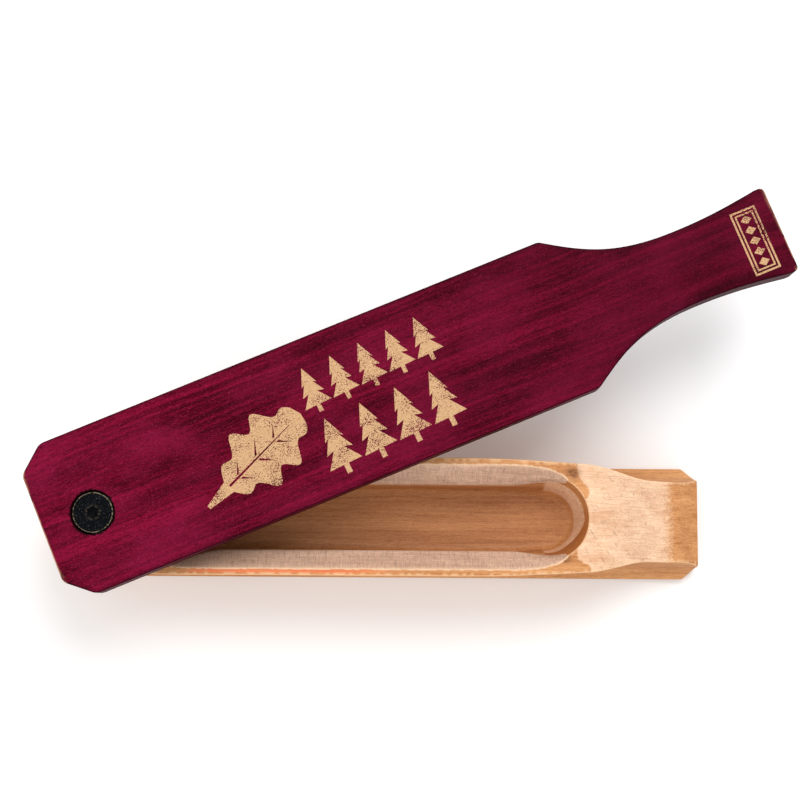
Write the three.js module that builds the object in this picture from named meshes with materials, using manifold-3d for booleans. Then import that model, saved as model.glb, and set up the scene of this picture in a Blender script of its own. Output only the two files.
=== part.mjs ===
// Box turkey call: a one-piece routed sound box and a paddle lid that turns on a sprung pivot screw.
// Millimetres, +Z up. The origin is the centre of the sound box's bottom face, and +X runs along the
// box from the pivot block to the handle end. The lid stands swung open, as it is when being played.

import * as THREE from 'three';
import { mergeVertices } from 'three/addons/utils/BufferGeometryUtils.js';
import Module from 'manifold-3d';

const wasm = await Module();
wasm.setup();

// Sound box: overall
const boxLength = 238;
const baseHalf = 21.2; // half width of the base flange
const baseFlange = 4; // height of the upright edge of that flange
const waistHalf = 15.2; // half width at the narrowest, between waistLow and waistHigh
const waistLow = 15;
const waistHigh = 22;
const rimHalf = 21.5; // half width over the two lips
const lipHeight = 1.5; // upright outer edge of a lip
const crownZ = 45; // top of the lips at the middle of their arch
const cornerCut = 5.2; // 45 degree cut on each upright corner
const endX = boxLength / 2;

// Sound box: side profile, from the pivot block over the arched lips and down the thumb ramp
const pivotX = 15.6 - endX;
const blockTopZ = 43.7;
const blockEndX = pivotX + 16;
const archStartX = pivotX + 50;
const archEndX = pivotX + 105;
const rampTop = [70, 41.4];
const rampEnd = [110.2, 16];
const rampPulls = [[90, 40.5], [97, 19]]; // control points of the ramp's S curve
const toeZ = 9.5; // thickness of the box at its handle end

// Sound box: trough
const troughFloorZ = 20;
const troughHalf = 12;
const bowlWall = [[10.8, 20], [13.2, 36], [14, 38.6], [15, 41], [16, 45], [16.75, 48]]; // radius, z
const bowlXs = [pivotX + 31.4, 59.2];
const flareDepth = 6.9; // 45 degree flare inside each lip
const flareXs = [pivotX + 37.4, 43.6]; // between these the flare has its full depth
const flareRunOut = 23.2; // and over this length it runs out to nothing
const flareBlunt = 0.77; // below 1 the run-out keeps its depth for longer and ends more bluntly

// Lid
const lidSwing = THREE.MathUtils.degToRad(22.7);
const lidBottomZ = crownZ + 0.6;
const lidTopZ = 58;
const lidHalf = 28.6;
const lidCrownDrop = 1.4; // the underside is rounded: its long edges stand this much higher
const lidOffset = 1.35; // the pivot hole is this far off the lid's centre line
const lidRear = 18.5; // pivot to rear end
const lidFront = 266.8; // pivot to handle end
const rearCut = [9.6, 8.3]; // rear corner cuts, along and across the lid
const shoulderAt = 183.6;
const neckAt = 230;
const neckHalf = 13.6;
const handleHalf = 16.6;
const handleCorner = 2.2;
const neckPulls = [[197.6, 19.4], [207.6, 13.6]]; // shoulder to neck: distance, half width
const handlePulls = [[244, 13.6], [252.8, 14.9]]; // neck to handle end
const counterboreRadius = 7.9;
const counterboreFloorZ = 48.2;
const lidHoleRadius = 5.1;

// Pivot hardware
const gap = 0.3; // between pieces that touch
const screwTopZ = lidTopZ - 0.6;
const headRadius = 7.2;
const headHeight = 2.4;
const shankRadius = 3;
const shankEndZ = 31;
const socketAcross = 4;
const socketDepth = 1.7;
const washerThick = 0.6;
const washerRadius = 7.2;
const seatThick = 0.8;
const seatRadius = 7.4;
const boreClear = shankRadius + 0.35;
const sleeveRadius = 4.6;
const thrustRadius = 9;
const thrustThick = 1.1;
const insertRadius = 4.7;
const insertLength = 14;
const insertFlange = [6.2, 1];
const wireRadius = 0.4;
const coilRadius = 5.6;
const coilTurns = 2.75;

const finishes = {
  beech: { color: 0xd9a878, roughness: 0.55 },
  purpleDyedWood: { color: 0x7a1233, roughness: 0.45 },
  blackSteel: { color: 0x1c1c1f, roughness: 0.4, metalness: 0.9 },
  zincSteel: { color: 0xb9bcc0, roughness: 0.35, metalness: 0.9 },
  springSteel: { color: 0x8b9096, roughness: 0.3, metalness: 0.95 },
  brass: { color: 0xb8923e, roughness: 0.35, metalness: 0.9 },
  blackNylon: { color: 0x232323, roughness: 0.6 },
  whiteNylon: { color: 0xe2ded2, roughness: 0.5 },
};

const group = new THREE.Group();

function addPiece(parent, name, geometry, finish) {
  const material = new THREE.MeshStandardMaterial(finishes[finish]);
  const mesh = new THREE.Mesh(geometry, material);
  mesh.name = name;
  parent.add(mesh);
  return mesh;
}

// Booleans

function solidOf(geometry) {
  const bare = geometry.clone();
  bare.deleteAttribute('normal');
  bare.deleteAttribute('uv');
  const merged = mergeVertices(bare, 1e-4);
  const vertProperties = new Float32Array(merged.attributes.position.array);
  const triVerts = new Uint32Array(merged.index.array);
  return new wasm.Manifold(new wasm.Mesh({ numProp: 3, vertProperties, triVerts }));
}

function geometryOf(solid) {
  const mesh = solid.getMesh();
  const geometry = new THREE.BufferGeometry();
  const positions = new Float32Array(mesh.vertProperties);
  geometry.setAttribute('position', new THREE.BufferAttribute(positions, 3));
  geometry.setIndex(new THREE.BufferAttribute(new Uint32Array(mesh.triVerts), 1));
  geometry.computeVertexNormals();
  return geometry;
}

function cutAll(solid, cutters) {
  return cutters.reduce((left, cutter) => left.subtract(solidOf(cutter)), solid);
}

// Extrusions and turned shapes

function extrude(shape, depth, curveSegments = 12) {
  return new THREE.ExtrudeGeometry(shape, { depth, bevelEnabled: false, curveSegments });
}

// A shape drawn in (y, z), run along X.
function alongX(shape, fromX, toX) {
  const turn = new THREE.Matrix4().makeBasis(
    new THREE.Vector3(0, 1, 0),
    new THREE.Vector3(0, 0, 1),
    new THREE.Vector3(1, 0, 0),
  );
  return extrude(shape, toX - fromX).applyMatrix4(turn).translate(fromX, 0, 0);
}

// A shape drawn in (x, z), run along Y and centred on it.
function acrossY(shape, width) {
  return extrude(shape, width, 24).rotateX(Math.PI / 2).translate(0, width / 2, 0);
}

// A closed (radius, z) profile turned about Z.
function turned(profile, segments) {
  const points = profile.map(([radius, z]) => new THREE.Vector2(radius, z));
  const first = points[0];
  if (first.x > 0) points.push(first.clone());
  return new THREE.LatheGeometry(points, segments).rotateX(Math.PI / 2);
}

function ring(inner, outer, fromZ, toZ, segments = 48) {
  return turned([[inner, fromZ], [outer, fromZ], [outer, toZ], [inner, toZ]], segments);
}

// Points on the arc that leaves `from` upright and ends at `to`, both given as (half width, z).
function coveArc(from, to, steps) {
  const rise = to[1] - from[1];
  const reach = to[0] - from[0];
  const radius = (rise * rise + reach * reach) / (2 * reach);
  return Array.from({ length: steps + 1 }, (_, i) => {
    const dz = (rise * i) / steps;
    return [from[0] + radius - Math.sqrt(radius * radius - dz * dz), from[1] + dz];
  });
}

// Sound box

// Half of the section, from the base up: flange, lower cove, waist, upper cove and lip.
function sectionHalf() {
  const lowerCove = coveArc([waistHalf, waistLow], [baseHalf, baseFlange], 8).reverse();
  const upperCove = coveArc([waistHalf, waistHigh], [rimHalf, crownZ - lipHeight], 10);
  return [[baseHalf, 0], ...lowerCove, ...upperCove, [rimHalf, crownZ + 1]];
}

function hourglass() {
  const half = sectionHalf();
  const mirrored = half.map(([y, z]) => [-y, z]).reverse();
  return new THREE.Shape([...half, ...mirrored].map(([y, z]) => new THREE.Vector2(y, z)));
}

// Height of the lips at x. They are level between the arch's ends and fall away on a curve.
function rimZ(x) {
  if (x > archEndX) {
    return crownZ - (crownZ - rampTop[1]) * ((x - archEndX) / (rampTop[0] - archEndX)) ** 2;
  }
  if (x < archStartX) {
    const share = Math.min(1, (archStartX - x) / (archStartX - blockEndX));
    return crownZ - (crownZ - blockTopZ) * share ** 2;
  }
  return crownZ;
}

function spread(from, to, steps) {
  return Array.from({ length: steps + 1 }, (_, i) => from + ((to - from) * i) / steps);
}

function sideProfile() {
  const shape = new THREE.Shape();
  shape.moveTo(-endX - 1, -1);
  shape.lineTo(-endX - 1, blockTopZ);
  for (const x of spread(blockEndX, archStartX, 6)) shape.lineTo(x, rimZ(x));
  for (const x of spread(archEndX, rampTop[0], 10)) shape.lineTo(x, rimZ(x));
  shape.bezierCurveTo(...rampPulls[0], ...rampPulls[1], ...rampEnd);
  shape.lineTo(endX, toeZ);
  shape.lineTo(endX + 1, toeZ - 0.65);
  shape.lineTo(endX + 1, -1);
  return shape;
}

// A triangular prism that cuts one upright corner of the box.
function cornerCutter(sideX, sideY) {
  const reach = 1;
  const corner = [
    [endX + reach, baseHalf - cornerCut - reach],
    [endX + reach, rimHalf + reach],
    [endX - cornerCut - reach, rimHalf + reach],
    [endX - cornerCut - reach, baseHalf + reach],
  ];
  const shape = new THREE.Shape(corner.map(([x, y]) => new THREE.Vector2(sideX * x, sideY * y)));
  return extrude(shape, crownZ + 2 * reach).translate(0, 0, -reach);
}

// The flare inside the lips: a trapezoid whose depth runs out towards both ends of the trough.
function flareCutter() {
  const above = 3;
  const turns = spread(0, Math.PI / 2, 9);
  const runOut = (turn) => flareRunOut * Math.sin(turn) ** flareBlunt;
  const runOuts = [
    ...turns.map((turn) => [flareXs[0] - runOut(turn), turn]).reverse(),
    ...spread(archStartX, archEndX, 2).map((x) => [x, 0]),
    ...spread(archEndX, flareXs[1], 6).slice(1).map((x) => [x, 0]),
    ...turns.slice(1).map((turn) => [flareXs[1] + runOut(turn), turn]),
  ];
  const stations = runOuts.map(([x, turn]) => {
    const depth = flareDepth * Math.cos(turn) + 0.05;
    const bottom = rimZ(x) - depth;
    const wide = troughHalf + depth + above;
    return [
      [x, -troughHalf, bottom],
      [x, troughHalf, bottom],
      [x, wide, rimZ(x) + above],
      [x, -wide, rimZ(x) + above],
    ];
  });
  return loft(stations);
}

// A closed skin over rings of four corners each, given in order along X.
function loft(stations) {
  const positions = stations.flat(2);
  const index = [];
  for (let i = 0; i + 1 < stations.length; i += 1) {
    for (let k = 0; k < 4; k += 1) {
      const a = 4 * i + k;
      const b = 4 * i + ((k + 1) % 4);
      index.push(a, b + 4, b, a, a + 4, b + 4);
    }
  }
  const last = 4 * (stations.length - 1);
  index.push(0, 1, 2, 0, 2, 3, last, last + 2, last + 1, last, last + 3, last + 2);
  const geometry = new THREE.BufferGeometry();
  geometry.setAttribute('position', new THREE.Float32BufferAttribute(positions, 3));
  geometry.setIndex(index.reverse());
  return geometry;
}

function troughCutters() {
  const height = crownZ + 3 - troughFloorZ;
  const slot = new THREE.BoxGeometry(bowlXs[1] - bowlXs[0], 2 * troughHalf, height);
  slot.translate((bowlXs[0] + bowlXs[1]) / 2, 0, troughFloorZ + height / 2);
  const topZ = bowlWall[bowlWall.length - 1][1];
  const bowls = bowlXs.map((x) => {
    const bowl = turned([[0, troughFloorZ], ...bowlWall, [0, topZ]], 56);
    return bowl.translate(x, 0, 0);
  });
  return [slot, ...bowls, flareCutter()];
}

// The blind hole for the threaded insert, with a recess for its flange.
function insertHole() {
  const top = blockTopZ + 2;
  const recess = blockTopZ - gap - insertFlange[1] - gap;
  const bottom = blockTopZ - gap - insertLength - gap;
  const tipClearZ = shankEndZ - 4;
  const hole = turned(
    [[0, tipClearZ], [boreClear, tipClearZ], [boreClear, bottom], [insertRadius + gap, bottom],
      [insertRadius + gap, recess], [insertFlange[0] + gap, recess], [insertFlange[0] + gap, top],
      [0, top]],
    48,
  );
  return hole.translate(pivotX, 0, 0);
}

function soundBox() {
  const blank = solidOf(alongX(hourglass(), -endX, endX));
  const profiled = blank.intersect(solidOf(acrossY(sideProfile(), 4 * rimHalf)));
  const corners = [-1, 1].flatMap((sideX) => [-1, 1].map((sideY) => cornerCutter(sideX, sideY)));
  return geometryOf(cutAll(profiled, [...corners, ...troughCutters(), insertHole()]));
}

// Lid, drawn along +X with the pivot at the origin, then swung

function lidOutline() {
  const near = ([along, half]) => [along, lidOffset - half];
  const far = ([along, half]) => [along, lidOffset + half];
  const cutStart = [-lidRear, lidHalf - rearCut[1]];
  const cutEnd = [-lidRear + rearCut[0], lidHalf];
  const shoulder = [shoulderAt, lidHalf];
  const neck = [neckAt, neckHalf];
  const cornerStart = [lidFront - handleCorner, handleHalf];
  const corner = [lidFront, handleHalf];
  const cornerEnd = [lidFront, handleHalf - handleCorner];
  const shape = new THREE.Shape();
  shape.moveTo(...near(cutStart));
  shape.lineTo(...near(cutEnd));
  shape.lineTo(...near(shoulder));
  shape.bezierCurveTo(...near(neckPulls[0]), ...near(neckPulls[1]), ...near(neck));
  shape.bezierCurveTo(...near(handlePulls[0]), ...near(handlePulls[1]), ...near(cornerStart));
  shape.quadraticCurveTo(...near(corner), ...near(cornerEnd));
  shape.lineTo(...far(cornerEnd));
  shape.quadraticCurveTo(...far(corner), ...far(cornerStart));
  shape.bezierCurveTo(...far(handlePulls[1]), ...far(handlePulls[0]), ...far(neck));
  shape.bezierCurveTo(...far(neckPulls[1]), ...far(neckPulls[0]), ...far(shoulder));
  shape.lineTo(...far(cutEnd));
  shape.lineTo(...far(cutStart));
  return shape;
}

// The lid's cross-section: flat on top, rounded underneath.
function lidSection() {
  const reach = lidHalf + 1;
  const points = spread(-reach, reach, 16).map((y) => {
    const drop = lidCrownDrop * (y / lidHalf) ** 2;
    return new THREE.Vector2(lidOffset + y, lidBottomZ + drop);
  });
  points.push(new THREE.Vector2(lidOffset + reach, lidTopZ));
  points.push(new THREE.Vector2(lidOffset - reach, lidTopZ));
  return new THREE.Shape(points);
}

function lidPaddle() {
  const outline = extrude(lidOutline(), lidTopZ - lidBottomZ + 4).translate(0, 0, lidBottomZ - 2);
  const section = alongX(lidSection(), -lidRear - 2, lidFront + 2);
  const pivotCut = turned(
    [[0, lidBottomZ - 2], [lidHoleRadius, lidBottomZ - 2], [lidHoleRadius, counterboreFloorZ],
      [counterboreRadius, counterboreFloorZ], [counterboreRadius, lidTopZ + 2], [0, lidTopZ + 2]],
    48,
  );
  return geometryOf(cutAll(solidOf(outline).intersect(solidOf(section)), [pivotCut]));
}

// Pivot hardware, drawn about Z at the pivot

function pivotScrew() {
  const headBottom = screwTopZ - headHeight;
  const chamfer = 0.5;
  const body = turned(
    [[0, shankEndZ], [shankRadius - chamfer, shankEndZ], [shankRadius, shankEndZ + chamfer],
      [shankRadius, headBottom], [headRadius, headBottom], [headRadius, screwTopZ - chamfer],
      [headRadius - chamfer, screwTopZ], [0, screwTopZ]],
    48,
  );
  const socket = new THREE.CylinderGeometry(
    socketAcross / Math.sqrt(3), socketAcross / Math.sqrt(3), 2 * socketDepth, 6,
  );
  socket.rotateX(Math.PI / 2).translate(0, 0, screwTopZ);
  return geometryOf(cutAll(solidOf(body), [socket]));
}

class Coil extends THREE.Curve {
  constructor(radius, turns, fromZ, toZ) {
    super();
    Object.assign(this, { radius, turns, fromZ, toZ });
  }

  getPoint(t, target = new THREE.Vector3()) {
    const angle = 2 * Math.PI * this.turns * t;
    const z = this.fromZ + (this.toZ - this.fromZ) * t;
    return target.set(this.radius * Math.cos(angle), this.radius * Math.sin(angle), z);
  }
}

function tensionSpring(fromZ, toZ) {
  const path = new Coil(coilRadius, coilTurns, fromZ + wireRadius + 0.05, toZ - wireRadius - 0.05);
  const wire = new THREE.Shape();
  wire.absarc(0, 0, wireRadius, 0, 2 * Math.PI);
  return new THREE.ExtrudeGeometry(wire, {
    steps: Math.round(coilTurns * 20), extrudePath: path, curveSegments: 4, bevelEnabled: false,
  });
}

function threadedInsert() {
  const top = blockTopZ - gap;
  return turned(
    [[boreClear, top - insertLength], [insertRadius, top - insertLength],
      [insertRadius, top - insertFlange[1]], [insertFlange[0], top - insertFlange[1]],
      [insertFlange[0], top], [boreClear, top]],
    48,
  );
}

const seatFrom = counterboreFloorZ + gap;
const washerTo = screwTopZ - headHeight - gap;
const thrustFrom = blockTopZ + 0.4;

addPiece(group, 'sound_box', soundBox(), 'beech');

const pivot = new THREE.Group();
pivot.position.x = pivotX;
group.add(pivot);
addPiece(pivot, 'threaded_insert', threadedInsert(), 'brass');
addPiece(
  pivot, 'thrust_washer', ring(boreClear, thrustRadius, thrustFrom, thrustFrom + thrustThick),
  'blackNylon',
);
addPiece(
  pivot, 'pivot_sleeve', ring(boreClear, sleeveRadius, lidBottomZ + 0.1, counterboreFloorZ),
  'whiteNylon',
);
addPiece(
  pivot, 'seat_washer', ring(boreClear, seatRadius, seatFrom, seatFrom + seatThick), 'zincSteel',
);
addPiece(
  pivot, 'tension_spring', tensionSpring(seatFrom + seatThick + gap, washerTo - washerThick - gap),
  'springSteel',
);
addPiece(
  pivot, 'head_washer', ring(boreClear, washerRadius, washerTo - washerThick, washerTo), 'zincSteel',
);
addPiece(pivot, 'pivot_screw', pivotScrew(), 'blackSteel');

const lid = addPiece(pivot, 'lid_paddle', lidPaddle(), 'purpleDyedWood');
lid.rotation.z = lidSwing;

export default group;
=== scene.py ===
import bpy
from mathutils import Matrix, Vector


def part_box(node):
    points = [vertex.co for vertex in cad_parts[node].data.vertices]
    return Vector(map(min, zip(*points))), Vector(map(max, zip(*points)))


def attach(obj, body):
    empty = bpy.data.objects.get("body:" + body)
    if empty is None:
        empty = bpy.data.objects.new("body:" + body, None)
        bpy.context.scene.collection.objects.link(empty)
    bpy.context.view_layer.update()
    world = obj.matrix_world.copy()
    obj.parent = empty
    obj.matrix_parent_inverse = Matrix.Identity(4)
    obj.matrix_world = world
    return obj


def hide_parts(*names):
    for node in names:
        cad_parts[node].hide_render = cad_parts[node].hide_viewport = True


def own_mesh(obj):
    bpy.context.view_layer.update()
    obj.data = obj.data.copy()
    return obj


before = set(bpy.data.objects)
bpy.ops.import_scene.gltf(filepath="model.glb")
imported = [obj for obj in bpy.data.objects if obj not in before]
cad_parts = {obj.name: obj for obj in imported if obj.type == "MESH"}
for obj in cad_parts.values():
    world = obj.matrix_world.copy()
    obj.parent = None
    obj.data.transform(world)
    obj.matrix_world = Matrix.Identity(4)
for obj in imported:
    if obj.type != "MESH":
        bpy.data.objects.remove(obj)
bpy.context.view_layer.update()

import bisect
import math

import bpy
import bmesh
from mathutils import Matrix, Vector
from mathutils.geometry import delaunay_2d_cdt

# Everything is worked out in millimetres and written to the meshes in metres.
mm = 0.001
low = {name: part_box(name)[0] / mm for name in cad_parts}
high = {name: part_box(name)[1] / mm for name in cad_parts}
pivotX = (low["pivot_screw"].x + high["pivot_screw"].x) / 2
lidSwing = math.radians(22.7)


# outlines and curves

def spread(start, end, steps):
    return [start + (end - start) * i / steps for i in range(steps + 1)]


def smoothMin(a, b, softness):
    near = max(softness - abs(a - b), 0) / softness
    return min(a, b) - near * near * softness / 4


def smoothMax(a, b, softness):
    return -smoothMin(-a, -b, softness)


def smoothStep(value):
    value = min(1, max(0, value))
    return value * value * (3 - 2 * value)


def averaged(function, at, reach):
    # takes the sharpness off a corner in a profile
    return sum(function(at + reach * share) for share in (-1, -0.5, 0, 0.5, 1)) / 5


def bezier(p0, p1, p2, p3, steps):
    points = []
    for t in spread(0, 1, steps):
        s = 1 - t
        weights = (s * s * s, 3 * s * s * t, 3 * s * t * t, t * t * t)
        points.append(tuple(sum(w * p[axis] for w, p in zip(weights, (p0, p1, p2, p3))) for axis in (0, 1)))
    return points


def roundCorner(before, corner, after, reach, steps=6):
    corner = Vector(corner)
    start = corner + (Vector(before) - corner).normalized() * reach
    end = corner + (Vector(after) - corner).normalized() * reach
    return [tuple(start * (1 - t) ** 2 + corner * 2 * t * (1 - t) + end * t * t)
            for t in spread(0, 1, steps)]


def circle(centreX, centreY, radius, segments):
    turns = spread(0, 2 * math.pi, segments)[:-1]
    return [(centreX + radius * math.cos(a), centreY + radius * math.sin(a)) for a in turns]


def inside(point, loop):
    x, y = point
    found = False
    x0, y0 = loop[-1]
    for x1, y1 in loop:
        if (y0 > y) != (y1 > y) and x < x0 + (x1 - x0) * (y - y0) / (y1 - y0):
            found = not found
        x0, y0 = x1, y1
    return found


def insetLoop(loop, distance):
    # moves the points of an anticlockwise loop inwards
    moved = []
    for before, point, after in zip(loop[-1:] + loop[:-1], loop, loop[1:] + loop[:1]):
        along = (Vector(point) - Vector(before)).normalized() + (Vector(after) - Vector(point)).normalized()
        half = max(along.length / 2, 0.5)
        normal = Vector((-along.y, along.x)).normalized()
        moved.append(tuple(Vector(point) + normal * distance / half))
    return moved


# skins: points, faces and painted marks that become one mesh

def newSkin():
    return {"points": [], "faces": [], "finish": [], "marks": {}}


def addPoints(skin, points, **marks):
    first = len(skin["points"])
    skin["points"].extend(points)
    for name, value in marks.items():
        column = skin["marks"].setdefault(name, {})
        for i in range(len(points)):
            column[first + i] = value[i] if isinstance(value, list) else value
    return list(range(first, first + len(points)))


def addFace(skin, corners, finish=0):
    skin["faces"].append(corners)
    skin["finish"].append(finish)


def joinRows(skin, rowA, rowB, closed=True):
    count = len(rowA)
    for i in range(count if closed else count - 1):
        k = (i + 1) % count
        addFace(skin, (rowA[i], rowA[k], rowB[k], rowB[i]))


def joinAll(skin, rows, closed=True):
    for rowA, rowB in zip(rows, rows[1:]):
        joinRows(skin, rowA, rowB, closed)


def fan(skin, row, centre, **marks):
    middle = addPoints(skin, [centre], **marks)[0]
    for i in range(len(row)):
        addFace(skin, (row[i], row[(i + 1) % len(row)], middle))


def fillBetween(skin, outer, holes, heightAt, spacing, guides=(), finishAt=None, marksAt=None):
    # triangles inside outer and outside the holes, with guide loops kept as edges
    points, edges = [], []
    for loop in [outer, *holes, *guides]:
        first = len(points)
        points.extend(loop)
        edges.extend((first + i, first + (i + 1) % len(loop)) for i in range(len(loop)))
    xs, ys = [p[0] for p in outer], [p[1] for p in outer]
    across = int((max(ys) - min(ys)) / spacing)
    along = int((max(xs) - min(xs)) / spacing)
    keepOut = [insetLoop(outer, spacing * 0.4)] + [list(hole) for hole in holes]
    for i in range(1, along):
        for k in range(1, across):
            point = (min(xs) + spacing * (i + 0.5 * (k % 2)), min(ys) + spacing * k)
            if inside(point, keepOut[0]) and not any(inside(point, hole) for hole in keepOut[1:]):
                points.append(point)
    found = delaunay_2d_cdt([Vector(p) for p in points], edges, [], 1, 1e-5)
    flat, triangles = found[0], found[2]
    marks = marksAt([tuple(p) for p in flat]) if marksAt else {}
    row = addPoints(skin, [(p.x, p.y, heightAt(p.x, p.y)) for p in flat], **marks)
    for triangle in triangles:
        middle = tuple(sum((flat[i] for i in triangle), Vector((0, 0))) / 3)
        if any(inside(middle, hole) for hole in holes):
            continue
        addFace(skin, tuple(row[i] for i in triangle), finishAt(middle) if finishAt else 0)
    return row


weld = {"merge": 0.004, "thinnest": 0.002, "sharpAngle": math.radians(40)}


def makeMesh(name, skin, materials, place=Matrix.Identity(4)):
    work = bmesh.new()
    layers = {mark: work.verts.layers.float.new(mark) for mark in skin["marks"]}
    verts = []
    for i, point in enumerate(skin["points"]):
        vert = work.verts.new(point)
        for mark, column in skin["marks"].items():
            vert[layers[mark]] = column.get(i, 0.0)
        verts.append(vert)
    for corners, finish in zip(skin["faces"], skin["finish"]):
        face = work.faces.new([verts[i] for i in corners])
        face.material_index = finish
        face.smooth = True
    bmesh.ops.remove_doubles(work, verts=work.verts, dist=weld["merge"])
    bmesh.ops.dissolve_degenerate(work, edges=work.edges, dist=weld["thinnest"])
    loose = [v for v in work.verts if not v.link_faces]
    bmesh.ops.delete(work, geom=loose, context="VERTS")
    bmesh.ops.recalc_face_normals(work, faces=work.faces)
    openEdges = sum(1 for e in work.edges if len(e.link_faces) != 2)
    bmesh.ops.transform(work, matrix=Matrix.Scale(mm, 4) @ place, verts=work.verts)
    mesh = bpy.data.meshes.new(name)
    work.to_mesh(mesh)
    work.free()
    mesh.set_sharp_from_angle(angle=weld["sharpAngle"])
    for material in materials:
        mesh.materials.append(material)
    piece = bpy.data.objects.new(name, mesh)
    bpy.context.scene.collection.objects.link(piece)
    print(f"{name}: {len(mesh.polygons)} faces, {openEdges} edges without two faces")
    return piece


def turnedPiece(name, profile, material, closedProfile=False, wornAt={}, hexAt=()):
    # profile is (radius, z) from the bottom; rings listed in hexAt are six-sided
    segments, sixth = 96, math.pi / 3
    skin = newSkin()
    rows = []
    for i, (radius, z) in enumerate(profile):
        points = []
        for k in range(segments):
            angle = 2 * math.pi * k / segments
            fromFlat = (angle + sixth / 2) % sixth - sixth / 2
            reach = radius / math.cos(fromFlat) if i in hexAt else radius
            points.append((pivotX + reach * math.cos(angle), reach * math.sin(angle), z))
        rows.append(addPoints(skin, points, worn=wornAt.get(i, 0.0)))
    joinAll(skin, rows)
    if closedProfile:
        joinRows(skin, rows[-1], rows[0])
    else:
        fan(skin, rows[0], (pivotX, 0, profile[0][1]), worn=0.0)
        fan(skin, rows[-1], (pivotX, 0, profile[-1][1]), worn=0.0)
    return makeMesh(name, skin, [material])


# node helpers

def newMaterial(name):
    material = bpy.data.materials.new(name)
    material.use_nodes = True
    tree = material.node_tree
    shader = tree.nodes["Principled BSDF"]
    return material, tree, shader


def node(tree, kind, inputs=None, **settings):
    made = tree.nodes.new(kind)
    for key, value in settings.items():
        setattr(made, key, value)
    for key, value in (inputs or {}).items():
        if isinstance(value, bpy.types.NodeSocket):
            tree.links.new(value, made.inputs[key])
        else:
            made.inputs[key].default_value = value
    return made


def maths(tree, operation, a, b=0.0, c=0.0):
    return node(tree, "ShaderNodeMath", {0: a, 1: b, 2: c}, operation=operation).outputs[0]


def times(tree, a, b):
    return maths(tree, "MULTIPLY", a, b)


def addShare(tree, a, share, total):
    return maths(tree, "MULTIPLY_ADD", a, share, total)


def rescale(tree, value, fromMin, fromMax, toMin=0.0, toMax=1.0):
    made = node(tree, "ShaderNodeMapRange", {"Value": value, "From Min": fromMin, "From Max": fromMax,
                                             "To Min": toMin, "To Max": toMax})
    return made.outputs[0]


def mixColour(tree, share, a, b, blend="MIX"):
    made = node(tree, "ShaderNodeMix", data_type="RGBA", blend_type=blend)
    sockets = {"share": made.inputs[0], "a": made.inputs[6], "b": made.inputs[7]}
    for key, value in (("share", share), ("a", a), ("b", b)):
        if isinstance(value, bpy.types.NodeSocket):
            tree.links.new(value, sockets[key])
        else:
            sockets[key].default_value = value
    return made.outputs[2]


def stretched(tree, vector, scale, turn=0.0):
    made = node(tree, "ShaderNodeMapping", {"Vector": vector, "Scale": scale, "Rotation": (0, 0, turn)},
                vector_type="POINT")
    return made.outputs[0]


def grain(tree, place, scale, detail=3.0, roughness=0.55, distortion=0.0):
    # noise with its own count of waves a millimetre along, across and up
    given = {"Vector": stretched(tree, place, scale), "Scale": 1.0, "Detail": detail,
             "Roughness": roughness, "Distortion": distortion}
    return node(tree, "ShaderNodeTexNoise", given).outputs[0]


def layered(tree, colour, look, layers):
    # each mask lays the colour of its name over what is there already
    for name, mask in layers:
        colour = mixColour(tree, mask, colour, look[name])
    return colour


def wire(tree, shader, colour, gloss, normal, shine):
    for name, value in (("Base Color", colour), ("Roughness", gloss), ("Normal", normal)):
        tree.links.new(value, shader.inputs[name])
    shader.inputs["Specular IOR Level"].default_value = shine


def painted(tree, mark):
    return node(tree, "ShaderNodeAttribute", attribute_name=mark).outputs["Fac"]


def screenColour(red, green, blue):
    # screen colour to the renderer's own scale
    def straight(value):
        value /= 255
        return value / 12.92 if value <= 0.04045 else ((value + 0.055) / 1.055) ** 2.4
    return (straight(red), straight(green), straight(blue), 1.0)


def bumpOf(tree, height, distance, strength):
    made = node(tree, "ShaderNodeBump", {"Height": height, "Distance": distance * mm, "Strength": strength})
    return made.outputs[0]


# finishes

dyedLook = {
    "deep": screenColour(48, 0, 12), "middle": screenColour(82, 1, 22), "bright": screenColour(122, 9, 44),
    "glow": screenColour(128, 18, 54), "glint": screenColour(140, 40, 78),
    "sheenAndWearSpecks": screenColour(176, 62, 100), "pore": screenColour(30, 0, 9), "paintedEdgeShade": screenColour(18, 3, 8),
    "bare": screenColour(186, 136, 108), "ink": screenColour(208, 174, 134),
    "inkShade": screenColour(182, 140, 100),
    "shine": 0.02, "waver": 7.0, "darkensFrom": 30, "darkestAt": 230,
}


def plainCoordinates(tree):
    where = node(tree, "ShaderNodeTexCoord").outputs["Object"]
    return stretched(tree, where, (1 / mm,) * 3)


def lidCoordinates(tree):
    # millimetres along the lid, across it and up, whatever way the lid is turned at rest
    where = node(tree, "ShaderNodeTexCoord").outputs["Object"]
    turn = Matrix.Rotation(-lidSwing, 3, "Z")
    shift = -(turn @ Vector((pivotX, 0, 0)))
    return node(tree, "ShaderNodeMapping", {"Vector": where, "Scale": (1 / mm,) * 3, "Location": shift,
                                            "Rotation": (0, 0, -lidSwing)}, vector_type="POINT").outputs[0]


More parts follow.
